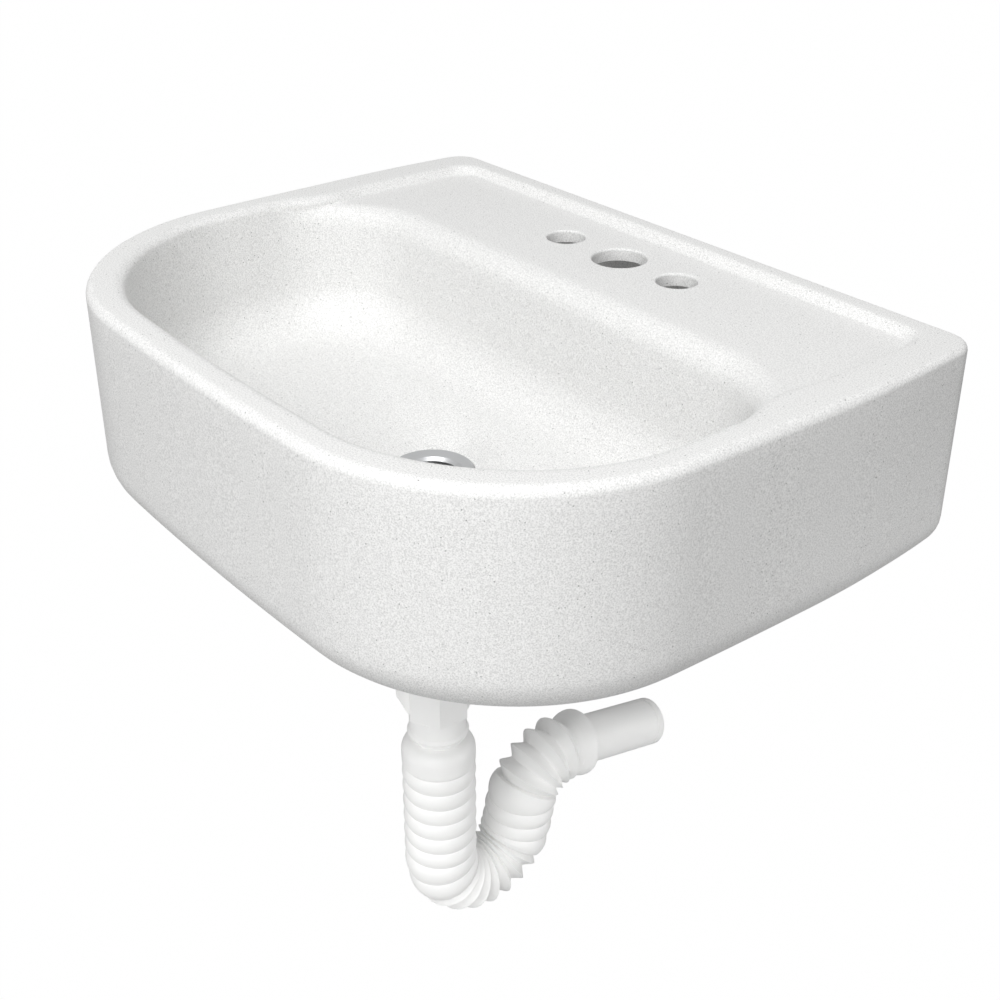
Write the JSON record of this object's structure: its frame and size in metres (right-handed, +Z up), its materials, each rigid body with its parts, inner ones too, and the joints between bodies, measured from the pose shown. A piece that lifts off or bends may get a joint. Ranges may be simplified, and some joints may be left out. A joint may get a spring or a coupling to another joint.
{
  "type": "washbasin",
  "caption": "Wall-hung D-shaped washbasin in speckled white mineral resin, with a sunk tap deck, a strainer waste and a ribbed flexible trap with outlet spigot.",
  "frame": {"origin": "middle of the two wall-screw holes, on the wall face", "axes": "+X along the wall, +Y into the wall, +Z up; the basin stands out towards -Y"},
  "size_m": [0.469, 0.355, 0.4711],
  "materials": {
    "basin_resin": "matte cast mineral resin with fine dark specks",
    "waste_metal": "satin",
    "trap_plastic": "blow-moulded white polypropylene",
    "nut_plastic": "injection-moulded white polypropylene",
    "seal_rubber": "matte"
  },
  "bodies": {
    "basin_assembly": {"basin": "basin_resin", "drain_body": "waste_metal", "flange_gasket": "seal_rubber", "under_gasket": "seal_rubber", "friction_washer": "nut_plastic", "waste_locknut": "nut_plastic", "tailpiece": "nut_plastic"},
    "inlet_nut": {"inlet_nut": "nut_plastic"},
    "trap": {"inlet_washer": "seal_rubber", "trap_hose": "trap_plastic", "outlet_bellows": "trap_plastic"},
    "outlet": {"outlet_spigot": "trap_plastic"}
  },
  "joints": [
    {"name": "inlet_nut_turn", "type": "hinge", "parent": "basin_assembly", "child": "inlet_nut", "pos_m": [0, -0.2016, -0.21], "axis": [0, 0, 1], "continuous": true},
    {"name": "trap_swivel", "type": "hinge", "parent": "inlet_nut", "child": "trap", "pos_m": [0, -0.2016, -0.225], "axis": [0, 0, 1], "continuous": true},
    {"name": "outlet_tilt", "type": "hinge", "parent": "trap", "child": "outlet", "pos_m": [0, -0.09511, -0.33296], "axis": [1, 0, 0], "range_deg": [-20, 20], "deforming": ["outlet_bellows"]}
  ]
}
